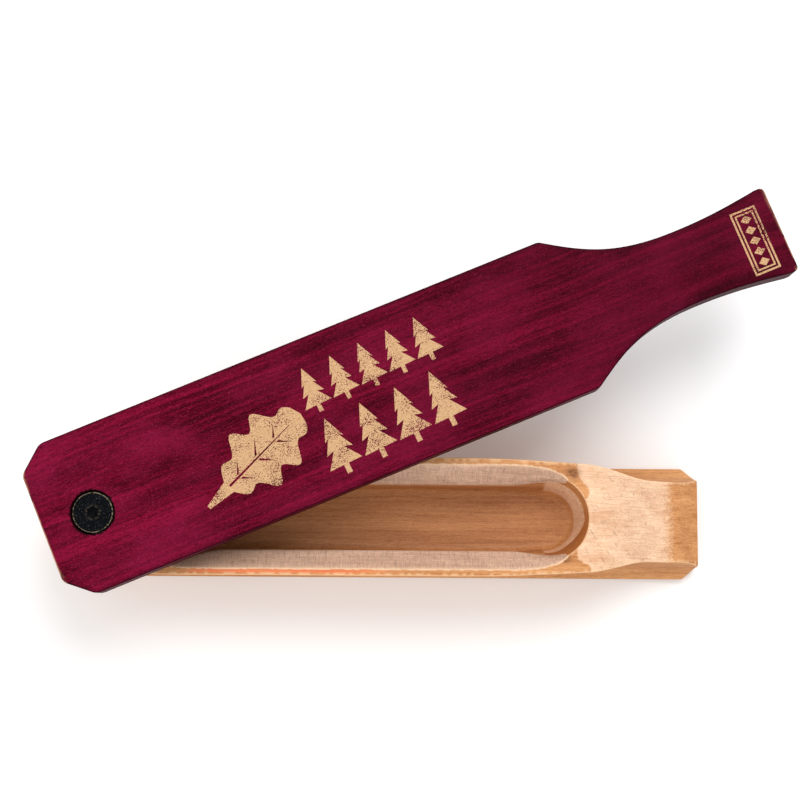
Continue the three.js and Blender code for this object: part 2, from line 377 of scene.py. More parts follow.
def dyedGrain(tree):
    place = lidCoordinates(tree)
    drift = grain(tree, place, (0.010, 0.03, 0.03), 2.0)
    wander = node(tree, "ShaderNodeCombineXYZ", {"Y": times(tree, drift, dyedLook["waver"])}).outputs[0]
    bent = node(tree, "ShaderNodeVectorMath", {0: place, 1: wander}, operation="ADD").outputs[0]
    broad = grain(tree, bent, (0.005, 0.22, 0.22), 4.0, 0.6)
    lines = grain(tree, bent, (0.014, 0.75, 0.75), 3.0, 0.55)
    fibres = grain(tree, bent, (0.30, 2.4, 2.4), 4.0, 0.7)
    mottle = grain(tree, place, (0.8, 2.0, 2.0), 4.0, 0.7)
    specks = grain(tree, place, (2.0, 4.5, 4.5), 3.0, 0.7)
    pores = grain(tree, bent, (0.42, 3.6, 3.6), 2.0, 0.5)
    glow = grain(tree, place, (0.030, 0.055, 0.055), 3.0)
    tone = addShare(tree, lines, 0.75, times(tree, broad, 0.65))
    tone = addShare(tree, fibres, 0.50, tone)
    tone = addShare(tree, mottle, 0.55, tone)
    tone = addShare(tree, specks, 0.60, tone)
    tone = rescale(tree, tone, 1.30, 1.77)
    ramp = node(tree, "ShaderNodeValToRGB", {"Fac": tone})
    stops = ramp.color_ramp.elements
    stops.new(0.5)
    for stop, position, name in zip(stops, (0.12, 0.5, 0.9), ("deep", "middle", "bright")):
        stop.position = position
        stop.color = dyedLook[name]
    colour = mixColour(tree, rescale(tree, glow, 0.42, 0.66, 0.0, 0.55), ramp.outputs[0],
                       dyedLook["glow"], "LIGHTEN")
    glint = rescale(tree, addShare(tree, fibres, 0.5, specks), 0.84, 0.98, 0.0, 0.5)
    # painted highlight: pale pink specks stand for sheen glinting off the lid's fibres
    sheenAndWearSpecks = rescale(tree, grain(tree, place, (1.7, 2.6, 2.6), 3.0, 0.8), 0.58, 0.72, 0.0, 0.55)
    # painted shade: the lid darkens towards the handle, where less light falls on it
    along = node(tree, "ShaderNodeSeparateXYZ", {"Vector": place}).outputs[0]
    shadeTowardsHandle = rescale(tree, along, dyedLook["darkensFrom"], dyedLook["darkestAt"], 0.0, 0.5)
    poreMask = rescale(tree, pores, 0.58, 0.70, 0.0, 0.7)
    # painted shade darkening the edges, the sides and the pivot bore, and the ends rubbed bare
    paintedEdgeShade = times(tree, rescale(tree, painted(tree, "edge"), 0.35, 0.95), 0.85)
    rub = rescale(tree, grain(tree, place, (0.35, 0.22, 0.5), 3.0), 0.36, 0.54)
    rubbed = times(tree, times(tree, painted(tree, "rubbed"), rub), 0.8)
    colour = layered(tree, colour, dyedLook, (("glint", glint), ("sheenAndWearSpecks", sheenAndWearSpecks), ("deep", shadeTowardsHandle),
                                              ("pore", poreMask), ("paintedEdgeShade", paintedEdgeShade), ("bare", rubbed)))
    relief = addShare(tree, fibres, 0.6, times(tree, poreMask, -0.9))
    relief = addShare(tree, lines, 0.5, relief)
    normal = bumpOf(tree, relief, 0.07, 0.55)
    gloss = rescale(tree, fibres, 0.3, 0.7, 0.40, 0.54)
    return place, colour, gloss, normal


def dyedWoodMaterial():
    material, tree, shader = newMaterial("dyed_wood")
    colour, gloss, normal = dyedGrain(tree)[1:]
    wire(tree, shader, colour, gloss, normal, dyedLook["shine"])
    return material


def creamPrintMaterial():
    # cream ink printed straight on the wood, worn through in specks
    material, tree, shader = newMaterial("cream_print")
    place, colour, gloss, normal = dyedGrain(tree)
    specks = grain(tree, place, (2.0, 2.6, 2.6), 4.0, 0.7)
    patches = grain(tree, place, (0.12, 0.18, 0.18), 2.0)
    cover = addShare(tree, patches, 0.40, specks)
    cover = rescale(tree, cover, 0.60, 0.65)
    ink = mixColour(tree, rescale(tree, specks, 0.4, 0.7), dyedLook["inkShade"], dyedLook["ink"])
    printed = mixColour(tree, cover, colour, ink)
    wire(tree, shader, printed, addShare(tree, cover, 0.12, gloss), normal, dyedLook["shine"])
    return material


paleLook = {
    "sealed": (screenColour(158, 96, 50), screenColour(222, 162, 106)),
    "raw": (screenColour(206, 156, 120), screenColour(246, 212, 178)),
    "flare": (screenColour(186, 146, 120), screenColour(232, 194, 168)),
    "deep": (screenColour(120, 66, 36), screenColour(178, 118, 76)),
    "band": screenColour(158, 90, 42), "fleck": screenColour(112, 62, 34),
    "line": screenColour(160, 98, 54), "burn": screenColour(96, 52, 24), "saw": screenColour(104, 84, 80),
    "chalk": screenColour(222, 100, 62), "endGrain": screenColour(178, 112, 58),
    "paintedRimHighlight": screenColour(244, 206, 164), "shine": 0.2, "scratchTurn": math.radians(56),
}


def paleWoodMaterial():
    material, tree, shader = newMaterial("pale_wood")
    place = plainCoordinates(tree)
    broad = grain(tree, place, (0.010, 0.16, 0.12), 3.0, 0.6, 0.3)
    lines = grain(tree, place, (0.035, 1.1, 0.35), 4.0, 0.6, 0.2)
    fibres = grain(tree, place, (0.30, 3.4, 1.5), 3.0, 0.65)
    mottle = grain(tree, place, (0.7, 1.5, 1.5), 4.0, 0.7)
    ragged = addShare(tree, mottle, 0.9, -0.45)
    raw = rescale(tree, maths(tree, "ADD", painted(tree, "raw"), ragged), 0.30, 0.70)
    # the band is finish under the rim of the bowl, deepened by painted shade
    band = rescale(tree, addShare(tree, ragged, 0.5, painted(tree, "band")), 0.2, 0.8)
    hatch, sawn = painted(tree, "hatch"), painted(tree, "sawn")
    tone = addShare(tree, lines, 0.5, times(tree, broad, 0.6))
    grit = grain(tree, place, (1.3, 3.2, 3.2), 3.0, 0.8)
    tone = addShare(tree, mottle, 0.22, tone)
    tone = addShare(tree, grit, 0.45, tone)
    tone = rescale(tree, addShare(tree, fibres, 0.5, tone), 0.90, 1.36)
    colour = mixColour(tree, tone, *paleLook["sealed"])
    # the flare tone is a greyer raw wood, darkened as painted shade; the deep tone is painted shade in the
    # trough over darker wood
    for mask, surface in ((raw, "raw"), (hatch, "flare"), (painted(tree, "deep"), "deep")):
        colour = mixColour(tree, mask, colour, mixColour(tree, tone, *paleLook[surface]))
    # growth lines, and the short dark ray flecks of this kind of wood
    growth = rescale(tree, lines, 0.58, 0.70, 0.0, 0.35)
    flecks = grain(tree, place, (0.45, 2.4, 1.2), 2.0, 0.5)
    fleckMask = times(tree, rescale(tree, flecks, 0.63, 0.74), 0.45)
    # fine cutter marks square to the flare, crossed by the grain
    ticks = grain(tree, place, (3.6, 0.25, 0.25), 3.0, 0.7)
    threads = grain(tree, place, (0.10, 4.2, 4.2), 3.0, 0.7)
    weave = maths(tree, "MAXIMUM", rescale(tree, ticks, 0.48, 0.64), rescale(tree, threads, 0.54, 0.68))
    weave = times(tree, weave, hatch)
    # straight combing from the shaper along the ramp, and a few diagonal scratches
    combing = grain(tree, place, (0.07, 2.6, 0.0), 3.0, 0.7)
    combed = times(tree, rescale(tree, combing, 0.50, 0.66, 0.0, 0.40), sawn)
    slant = stretched(tree, place, (1, 1, 1), paleLook["scratchTurn"])
    scratch = rescale(tree, grain(tree, slant, (0.17, 2.4, 1.0), 2.0, 0.5), 0.64, 0.71)
    scratch = times(tree, times(tree, scratch, sawn), 0.6)
    # cutter burn in the corners, and the red chalk left on the played lip
    burn = times(tree, painted(tree, "burn"), rescale(tree, mottle, 0.35, 0.6, 0.35, 1.0))
    chalk = times(tree, painted(tree, "chalk"), rescale(tree, mottle, 0.3, 0.6, 0.35, 0.85))
    colour = layered(tree, colour, paleLook, (
        ("band", times(tree, band, 0.85)), ("line", growth), ("fleck", fleckMask),
        ("saw", times(tree, weave, 0.42)), ("line", combed), ("saw", scratch), ("burn", burn),
        ("endGrain", times(tree, painted(tree, "endGrain"), 0.55)), ("chalk", chalk),
        # painted highlight along the top edges of the box and the rim of the trough
        ("paintedRimHighlight", times(tree, painted(tree, "edge"), 0.5)),
    ))
    relief = addShare(tree, fleckMask, -0.7, times(tree, fibres, 0.5))
    relief = addShare(tree, weave, -0.9, relief)
    relief = addShare(tree, scratch, -1.2, relief)
    gloss = rescale(tree, raw, 0.0, 1.0, 0.46, 0.62)
    wire(tree, shader, colour, gloss, bumpOf(tree, relief, 0.08, 0.6), paleLook["shine"])
    return material


def hardwareMaterial(name, colour, roughness, metallic=1.0, highlightSpecks=0.0, wornColour=None, shine=0.4):
    material, tree, shader = newMaterial(name)
    place = plainCoordinates(tree)
    fine = grain(tree, place, (2.4, 2.4, 2.4), 4.0, 0.7)
    sheenAndWearSpecks = grain(tree, place, (1.1, 1.1, 1.1), 3.0, 0.6)
    # painted highlight: pale grey specks stand for light glinting on the finish
    pale = rescale(tree, fine, 0.60, 0.72, 0.0, highlightSpecks)
    base = mixColour(tree, pale, colour, screenColour(120, 128, 132))
    if wornColour:
        worn = times(tree, painted(tree, "worn"), rescale(tree, sheenAndWearSpecks, 0.44, 0.58, 0.1, 0.9))
        base = mixColour(tree, worn, base, wornColour)
    gloss = rescale(tree, fine, 0.3, 0.7, roughness - 0.08, roughness + 0.1)
    wire(tree, shader, base, gloss, bumpOf(tree, fine, 0.03, 0.5), shine)
    shader.inputs["Metallic"].default_value = metallic
    return material


print("finishes")
dyedWood = dyedWoodMaterial()
creamPrint = creamPrintMaterial()
paleWood = paleWoodMaterial()
blackOxide = hardwareMaterial("black_oxide", screenColour(3, 4, 7), 0.5, metallic=0.0, highlightSpecks=0.6,
                              wornColour=screenColour(150, 136, 112), shine=0.04)
zincPlate = hardwareMaterial("zinc_plate", screenColour(128, 130, 134), 0.5)
springWire = hardwareMaterial("spring_wire", screenColour(150, 154, 160), 0.28)
turnedBrass = hardwareMaterial("turned_brass", screenColour(196, 158, 84), 0.32)
blackNylon = hardwareMaterial("black_nylon", screenColour(34, 34, 35), 0.6, 0.0)
whiteNylon = hardwareMaterial("white_nylon", screenColour(226, 222, 210), 0.5, 0.0)


# sound box

box = {
    "endX": high["sound_box"].x,
    "crownZ": high["sound_box"].z,
    "rimHalf": high["sound_box"].y,
    "baseHalf": 21.2, "flange": 4.0,
    "waistHalf": 15.2, "waistLow": 15.0, "waistHigh": 22.0,
    "lipHeight": 1.5, "cornerCut": 5.2,
    "blockTopZ": 43.7, "blockEndX": pivotX + 16, "archX": (pivotX + 50, pivotX + 105),
    "rampX": (70.0, 110.2), "rampZ": (41.4, 16.0), "rampPulls": ((90.0, 40.5), (97.0, 19.0)),
    "toeZ": 9.5,
    "floorZ": 20.0, "troughHalf": 12.0, "bowlX": (pivotX + 31.4, 59.2),
    "bowlWall": ((20.0, 10.8), (36.0, 13.2), (38.6, 14.0), (41.0, 15.0), (45.0, 16.0)),
    "flareDepth": 6.9, "flareX": (pivotX + 37.4, 43.6), "flareRunOut": 23.2, "flareBlunt": 0.77,
    "endRound": 0.7, "baseRound": 0.7, "lipRound": 0.5, "rimRound": 0.3, "floorRound": 2.6,
    "eased": 0.45, "bowlBlend": 14, "flareBlend": 0.35,
    "bandFoot": 37.6, "bandFootDrop": 6.5, "chalkX": (-76, 10), "chalkY": -20.0,
    # each burnt spot is x, y, reach along, reach across, depth
    "burns": ((68.4, 16.3, 2.3, 1.9, 1.25), (65.6, -15.0, 1.8, 1.2, 1.2)),
    "acrossEnd": 14, "bowlSteps": 96, "wallSteps": 104, "topGrid": 1.0, "floorGrid": 3.0,
}

rampTop, rampFoot = zip(box["rampX"], box["rampZ"])
rampCurve = bezier(rampTop, *box["rampPulls"], rampFoot, 90)
rampXs = [p[0] for p in rampCurve]


def sideZ(x):
    # height of the top edge seen from the side: block, arched lips, thumb ramp and toe
    crown, block = box["crownZ"], box["blockTopZ"]
    archStart, archEnd = box["archX"]
    rampStart, rampEnd = box["rampX"]
    if x < archStart:
        share = min(1, (archStart - x) / (archStart - box["blockEndX"]))
        return crown - (crown - block) * share ** 2
    if x <= archEnd:
        return crown
    if x <= rampStart:
        return crown - (crown - box["rampZ"][0]) * ((x - archEnd) / (rampStart - archEnd)) ** 2
    if x < rampEnd:
        i = min(len(rampXs) - 1, max(1, bisect.bisect(rampXs, x)))
        (x0, z0), (x1, z1) = rampCurve[i - 1], rampCurve[i]
        return z0 + (z1 - z0) * (x - x0) / (x1 - x0)
    foot, share = box["rampZ"][1], (x - rampEnd) / (box["endX"] - rampEnd)
    return foot + (box["toeZ"] - foot) * share


def topZ(x):
    return averaged(sideZ, x, box["eased"])


def coveHalf(z):
    # half width of the box at a height: flange, lower cove, waist, upper cove, lip
    base, waist, rim = box["baseHalf"], box["waistHalf"], box["rimHalf"]
    if z < box["flange"]:
        return base
    if z < box["waistLow"]:
        rise, reach, away = box["waistLow"] - box["flange"], base - waist, box["waistLow"] - z
    elif z <= box["waistHigh"]:
        return waist
    else:
        lipZ = box["crownZ"] - box["lipHeight"]
        rise, reach, away = lipZ - box["waistHigh"], rim - waist, min(z, lipZ) - box["waistHigh"]
    radius = (rise * rise + reach * reach) / (2 * reach)
    return waist + radius - math.sqrt(radius * radius - away * away)


def outerHalf(x, z):
    cornerLimit = box["baseHalf"] - box["cornerCut"] + box["endX"] - abs(x)
    return smoothMin(averaged(coveHalf, z, box["eased"]), cornerLimit, box["endRound"])


def outerProfile(x):
    # one side of the section, from the middle of the base round to the top edge
    top, bottomRound, topRound = topZ(x), box["baseRound"], box["lipRound"]
    foot = outerHalf(x, bottomRound)
    points = [(foot * share, 0.0) for share in (0, 0.25, 0.5, 0.75)]
    for a in spread(0, math.pi / 2, 4):
        points.append((foot - bottomRound * (1 - math.sin(a)), bottomRound * (1 - math.cos(a))))
    points += [(outerHalf(x, z), z) for z in (1.7, 2.7, 3.3)]
    points += [(outerHalf(x, z), z) for z in spread(3.6, 4.6, 5)]
    points += [(outerHalf(x, z), z) for z in spread(4.6, top - topRound, 30)[1:]]
    shoulder = points[-1][0]
    for a in spread(0, math.pi / 2, 4)[1:]:
        points.append((shoulder - topRound * (1 - math.cos(a)), top - topRound * (1 - math.sin(a))))
    return points


def flareDepthAt(x):
    beyond = max(box["flareX"][0] - x, x - box["flareX"][1], 0) / box["flareRunOut"]
    return box["flareDepth"] * math.sqrt(max(0, 1 - beyond ** (2 / box["flareBlunt"])))


def flareHalf(x, z):
    return box["troughHalf"] + flareDepthAt(x) - (topZ(x) - z)


def bowlRadiusAt(z):
    wall = box["bowlWall"]
    for (z0, r0), (z1, r1) in zip(wall, wall[1:]):
        if z <= z1 or z1 == wall[-1][0]:
            return r0 + (r1 - r0) * (z - z0) / (z1 - z0)


def slotHalf(x, z):
    half, away = box["troughHalf"], min(abs(x - centre) for centre in box["bowlX"])
    return half + (bowlRadiusAt(z) - half) * smoothStep(1 - away / box["bowlBlend"])


def troughPoint(spoke, z, outward=0.0):
    kind, x, turn, sign = spoke
    if kind == "side":
        half = smoothMax(slotHalf(x, z), flareHalf(x, z), box["flareBlend"])
        return (x, sign * (half + outward))
    near, far = bowlRadiusAt(z), 2 * box["troughHalf"]
    for _ in range(20):  # outwards from the bowl's wall until the flare ends
        reach = (near + far) / 2
        there = x + sign * reach * math.cos(turn)
        past = flareDepthAt(there) == 0 or reach * abs(math.sin(turn)) > flareHalf(there, z)
        near, far = (near, reach) if past else (reach, far)
    return (x + sign * (near + outward) * math.cos(turn), (near + outward) * math.sin(turn))


def troughSpokes():
    leftX, rightX = box["bowlX"]
    xs = spread(leftX, rightX, box["wallSteps"])[1:-1]
    turns = spread(math.pi / 2, -math.pi / 2, box["bowlSteps"])
    right = [("end", rightX, a, 1) for a in turns]
    left = [("end", leftX, -a, -1) for a in turns]
    return [("side", x, 0, 1) for x in xs] + right + [("side", x, 0, -1) for x in xs[::-1]] + left


def wallMarks(spoke, point, isFlare):
    # bare flare and lower wall; an orange-brown band of finish under the rim of the bowl, deepened by
    # painted shade on the near side; painted shade darkening the walls towards their foot; painted
    # highlight along the rim
    x, y, z = point
    atEnd = 1.0 if spoke[0] == "end" else 0.0
    side = math.sin(spoke[2]) if atEnd else math.copysign(1, spoke[3])
    bandFoot = box["bandFoot"] - box["bandFootDrop"] * smoothStep(-side * 1.25)
    band = atEnd * smoothStep((z - bandFoot) / 1.4 + 0.5) * (1 - isFlare)
    foot = smoothStep((24 - z) / 4) if atEnd else smoothStep((31 - z) / 9)
    wall = (1 - isFlare) * (1 - band)
    return {"raw": isFlare + wall * (0.62 * atEnd + 0.25 * (1 - atEnd)) * (1 - foot),
            "hatch": isFlare, "band": band * (0.55 + 0.45 * smoothStep(0.3 - side)),
            "deep": wall * (0.15 * (1 - atEnd) + 0.3 * foot), "edge": smoothStep((z - topZ(x) + 0.5) / 0.4)}


def troughRows(skin):
    spokes = troughSpokes()
    edgeRound, floorRound, floorZ = box["rimRound"], box["floorRound"], box["floorZ"]
    columns = []
    for spoke in spokes:
        rimZ = topZ(spoke[1])
        for _ in range(5):
            rimZ = topZ(troughPoint(spoke, rimZ)[0])
        x, y = troughPoint(spoke, rimZ)
        onFlare = math.hypot(x - spoke[1], y) > bowlRadiusAt(rimZ) + 0.25
        flareBottom = rimZ - max(flareDepthAt(x), 0.9)
        column = []
        for a in spread(0, math.pi / 2, 3):
            outward, z = edgeRound * (1 - math.sin(a)), rimZ - edgeRound * (1 - math.cos(a))
            x, y = troughPoint(spoke, z, outward)
            column.append((x, y, topZ(x) if a == 0 else z, onFlare))
        for z in spread(rimZ - edgeRound, flareBottom, 8)[1:]:
            column.append((*troughPoint(spoke, z), z, onFlare))
        for z in spread(flareBottom, floorZ + floorRound, 20)[1:]:
            column.append((*troughPoint(spoke, z), z, False))
        for a in spread(0, math.pi / 2, 6)[1:]:
            z = floorZ + floorRound * (1 - math.sin(a))
            column.append((*troughPoint(spoke, z, -floorRound * (1 - math.cos(a))), z, False))
        columns.append(column)
    rows = []
    for level in range(len(columns[0])):
        points = [column[level] for column in columns]
        marks = [wallMarks(spoke, point[:3], float(point[3])) for spoke, point in zip(spokes, points)]
        table = {name: [mark[name] for mark in marks] for name in marks[0]}
        rows.append(addPoints(skin, [point[:3] for point in points], **table))
    joinAll(skin, rows)
    floorLoop = [tuple(column[-1][:2]) for column in columns]
    # painted shade on the trough floor, over wood that is darker too
    fillBetween(skin, floorLoop[::-1], [], lambda x, y: floorZ, box["floorGrid"],
                marksAt=lambda flat: {"deep": 0.5})
    return [tuple(column[0][:2]) for column in columns]


recess = {"seat": 6.5, "seatDepth": 1.3, "bore": 5.0, "drill": 3.35, "drillPastScrew": 4.0, "chamfer": 0.3,
          "sides": 64, "raw": 0.4}


def insertRecess(skin):
    seat, bore, drill, bevel = recess["seat"], recess["bore"], recess["drill"], recess["chamfer"]
    block, bottom = box["blockTopZ"], low["threaded_insert"].z - 0.3
    seatZ = high["threaded_insert"].z - recess["seatDepth"]
    profile = [(seat + bevel, block), (seat + 0.08, block - 0.08), (seat, block - bevel), (seat, seatZ),
               (bore, seatZ), (bore, bottom), (drill, bottom),
               (drill, low["pivot_screw"].z - recess["drillPastScrew"])]
    rows = []
    for radius, z in profile:
        loop = [(x, y, z) for x, y in circle(pivotX, 0, radius, recess["sides"])]
        rows.append(addPoints(skin, loop, raw=recess["raw"]))
    joinAll(skin, rows)
    fan(skin, rows[-1], (pivotX, 0, profile[-1][1]), raw=recess["raw"])
    return circle(pivotX, 0, profile[0][0], recess["sides"])


def boxStations():
    # cuts along the box, closer together where its side changes quickly
    edge = box["endX"] - box["endRound"]
    rampStart, rampEnd = box["rampX"]
    stations = [-edge]
    for upTo, steps in ((-112, 26), (rampStart - 2, 128), (rampStart + 3, 14), (rampEnd - 2, 30),
                        (rampEnd + 2, 11), (edge, 26)):
        stations += spread(stations[-1], upTo, steps)[1:]
    return stations


def topMarks(flat):
    # how bare, burnt or chalked the top surface is at each point
    marks = {"raw": [], "sawn": [], "burn": [], "chalk": []}
    rampStart, rampEnd = box["rampX"]
    chalkStart, chalkEnd = box["chalkX"]
    for x, y in flat:
        wavy = 4.6 * math.exp(-((y - 9.5) / 4.2) ** 2) + 5.0 * smoothStep((-14.5 - y) / 3.5)
        rampFrom = rampStart - 0.2 + wavy
        onRamp = smoothStep((x - rampFrom) / 2.4 + 0.5) * smoothStep((rampEnd - 3.5 - x) / 18 + 0.5)
        played = smoothStep((x - chalkStart) / 10) * smoothStep((chalkEnd - x) / 26)
        burns = [depth * math.exp(-((x - burnX) / reachX) ** 2 - ((y - burnY) / reachY) ** 2)
                 for burnX, burnY, reachX, reachY, depth in box["burns"]]
        marks["raw"].append(onRamp)
        marks["sawn"].append(onRamp)
        marks["burn"].append(min(1, max(burns)))
        marks["chalk"].append(played * math.exp(-((y - box["chalkY"]) / 0.75) ** 4))
    return marks


def soundBox():
    skin = newSkin()
    xs = boxStations()
    profiles = [outerProfile(x) for x in xs]
    rows = []
    for x, half in zip(xs, profiles):
        section = [(x, -y, z) for y, z in reversed(half)] + [(x, y, z) for y, z in half[1:]]
        farEdge, nearEdge = topMarks([(x, half[-1][0]), (x, -half[-1][0])])["raw"]
        plain = [0.0] * (len(section) - 8)
        bare = [nearEdge] * 4 + plain + [farEdge] * 4
        # painted highlight on the top edge of each side, through the edge mark
        pale = [0.9] * 3 + [0.0] * 2 + plain + [0.9] * 3
        rows.append(addPoints(skin, section, raw=bare, sawn=bare, edge=pale))
    joinAll(skin, rows, closed=False)
    # top surface, with the trough and the insert's recess left open
    across = box["acrossEnd"]
    firstHalf, lastHalf = profiles[0][-1][0], profiles[-1][-1][0]
    leftEnd = [(xs[0], y) for y in spread(firstHalf, -firstHalf, across)[1:-1]]
    rightEnd = [(xs[-1], y) for y in spread(-lastHalf, lastHalf, across)[1:-1]]
    nearSide = [(x, -profile[-1][0]) for x, profile in zip(xs, profiles)]
    farSide = [(x, profile[-1][0]) for x, profile in zip(xs, profiles)]
    outer = nearSide + rightEnd + farSide[::-1] + leftEnd
    rim = troughRows(skin)
    mouth = insertRecess(skin)
    fillBetween(skin, outer, [rim, mouth], lambda x, y: topZ(x), box["topGrid"],
                guides=[insetLoop(rim, 0.25)], marksAt=topMarks)
    # rounded ends
    for row, x, half, sign in ((rows[0], xs[0], firstHalf, -1), (rows[-1], xs[-1], lastHalf, 1)):
        loop = [skin["points"][i][1:] for i in row]
        loop += [(y, topZ(x)) for y in spread(half, -half, across)[1:-1]]
        rings = []
        for a in spread(0, math.pi / 2, 4):
            inset, out = box["endRound"] * (1 - math.cos(a)), box["endRound"] * math.sin(a)
            ring = insetLoop(loop, inset) if inset else loop
            endX = x + sign * out
            rings.append(addPoints(skin, [(endX, y, z) for y, z in ring], endGrain=a / (math.pi / 2)))
        joinAll(skin, rings)
        cap = fillBetween(skin, ring, [], lambda y, z: endX, box["floorGrid"],
                          marksAt=lambda flat: {"endGrain": 1.0})
        for i in cap:  # filled lying down, so stood up again
            y, z, endX = skin["points"][i]
            skin["points"][i] = (endX, y, z)
    return makeMesh("routed_box", skin, [paleWood])


print("sound box")
routedBox = soundBox()


# lid

lid = {
    "topZ": high["lid_paddle"].z, "bottomZ": low["lid_paddle"].z, "crownDrop": 1.4,
    "half": 28.6, "offset": 1.35, "rear": 18.5, "front": 266.8, "rearCut": (9.6, 8.3),
    "shoulder": 183.6, "neck": 230.0, "neckHalf": 13.6, "handleHalf": 16.6, "handleCorner": 2.2,
    "boreRadius": 7.9, "boreFloorZ": 48.2, "holeRadius": 5.1,
    "topRound": 0.55, "bottomRound": 0.8, "boreBevel": 0.3, "holeSides": 72, "grid": 3.2,
}
leaf = {
    "place": (47, -10.5), "turn": math.radians(24), "length": 37.0, "width": 13.5, "lobes": 3.5,
    "stalk": (-9, 0.75), "veins": ((6.0, 4.6), (15.0, 6.2), (24.0, 4.8)),
}
conifers = {
    "tiers": ((0.50, 0.16, 0.44), (0.40, 0.40, 0.66), (0.28, 0.62, 1.0)),
    "trunk": 0.075, "neck": 0.16, "turn": math.radians(4), "climb": 0.5,
    # each row is count, first place, step, width, height
    "rows": ((5, (88.6, 2.6), 11.0, 10.3, 17.0), (4, (89.8, -21.6), 13.6, 12.6, 21.5)),
}
tab = {
    "along": 256.3, "across": -0.7, "half": 12.2, "diamondStep": 4.1, "diamond": (2.1, 1.6),
    # half width and inset of each line of the frame
    "frame": ((4.9, 0.0), (4.2, 0.7), (3.5, 1.4), (2.9, 2.0)),
}
lidPlace = Matrix.Translation((pivotX, 0, 0)) @ Matrix.Rotation(lidSwing, 4, "Z")


def lidOutline():
    # one long side from the rear end to the handle end, then the same mirrored
    half, shoulder, front, neck = lid["half"], lid["shoulder"], lid["front"], lid["neck"]
    neckHalf, handleHalf, corner = lid["neckHalf"], lid["handleHalf"], lid["handleCorner"]
    rear, (cutLong, cutAcross) = -lid["rear"], lid["rearCut"]
    pull = shoulder + 20
    toNeck = bezier((shoulder, half), (pull - 6, neckHalf + 5.8), (pull + 4, neckHalf),
                    (neck, neckHalf), 44)
    toHandle = bezier((neck, neckHalf), (neck + 14, neckHalf), (front - 14, handleHalf - 1.7),
                      (front - corner, handleHalf), 34)
    side = [(rear, half - 16)]
    side += roundCorner((rear, 0), (rear, half - cutAcross), (rear + cutLong, half), 1.8)
    side += roundCorner((rear, half - cutAcross), (rear + cutLong, half), (shoulder, half), 1.8)
    side += [(u, half) for u in spread(rear + cutLong + 2, shoulder - 1.5, 60)[1:-1]]
    side += roundCorner((0, half), (shoulder, half), toNeck[3], 1.0, 4)
    side += toNeck[2:] + toHandle[1:-1]
    side += roundCorner(toHandle[-3], (front, handleHalf), (front, 0), corner, 6)
    side += [(front, handleHalf - 6)]
    upper = [(u, lid["offset"] + v) for u, v in side]
    lower = [(u, lid["offset"] - v) for u, v in side]
    return lower + upper[::-1]


def undersideZ(u, v):
    return lid["bottomZ"] + lid["crownDrop"] * ((v - lid["offset"]) / lid["half"]) ** 2


def turnLoop(loop, angle, u, v):
    cos, sin = math.cos(angle), math.sin(angle)
    return [(u + x * cos - y * sin, v + x * sin + y * cos) for x, y in loop]


def lobedLeaf():
    # a plain lobed leaf with its midrib and veins left open
    length, stalkEnd, stalkHalf = leaf["length"], *leaf["stalk"]
    edge = []
    for t in spread(0.03, 1, 54):
        lobe = 0.80 + 0.20 * math.cos(2 * math.pi * leaf["lobes"] * (t - 0.1))
        edge.append((length * t, leaf["width"] * math.sin(math.pi * min(1, t * 0.97)) ** 0.62 * lobe))
    stalk = [(stalkEnd, stalkHalf), (stalkEnd, -stalkHalf)]
    outline = [(x, -y) for x, y in edge[:-1]] + [(length + 0.4, 0)] + edge[-2::-1] + stalk
    rib = [(1.5, -0.45), (length * 0.86, -0.12), (length * 0.86, 0.12), (1.5, 0.45)]
    loops = [outline, rib]
    for start, reach in leaf["veins"]:
        for side in (-1, 1):
            tip = (start + reach * 0.8 + 0.2, side * reach)
            loops.append([(start, side * 0.9), (start + 1.1, side * 0.9), tip])
    return loops


def conifer(width, height):
    trunk, neck, tiers = conifers["trunk"], conifers["neck"], conifers["tiers"]
    side = [(trunk, 0.0), (trunk, tiers[0][1])]
    for reach, foot, top in tiers:
        side.append((reach, foot))
        side.append((neck if top < 1 else 0.0, top))
    right = [(x * width, y * height) for x, y in side]
    left = [(-x, y) for x, y in right[-2::-1]]
    return right + left


def printLoops():
    # a leaf, two rows of conifers and a small framed tab: plain motifs, no lettering
    loops = [turnLoop(loop, leaf["turn"], *leaf["place"]) for loop in lobedLeaf()]
    for count, (u, v), step, width, height in conifers["rows"]:
        for k in range(count):
            tree = conifer(width, height)
            loops.append(turnLoop(tree, conifers["turn"], u + step * k, v + conifers["climb"] * k))
    tabU, tabV = tab["along"], lid["offset"] + tab["across"]
    for du, dv in tab["frame"]:
        half = tab["half"] - dv
        loops.append([(tabU - du, tabV - half), (tabU + du, tabV - half),
                      (tabU + du, tabV + half), (tabU - du, tabV + half)])
    du, dv = tab["diamond"]
    for k in range(-2, 3):
        v = tabV + tab["diamondStep"] * k
        loops.append([(tabU - du, v), (tabU, v - dv), (tabU + du, v), (tabU, v + dv)])
    return loops


def lidMarks(flat):
    outline = lidOutline()
    rim = insetLoop(outline, 1.6)
    # a thin band of painted shade along the outline of the top face
    return {"edge": [0.0 if inside(point, rim) else 0.42 for point in flat], "rubbed": 0.0}


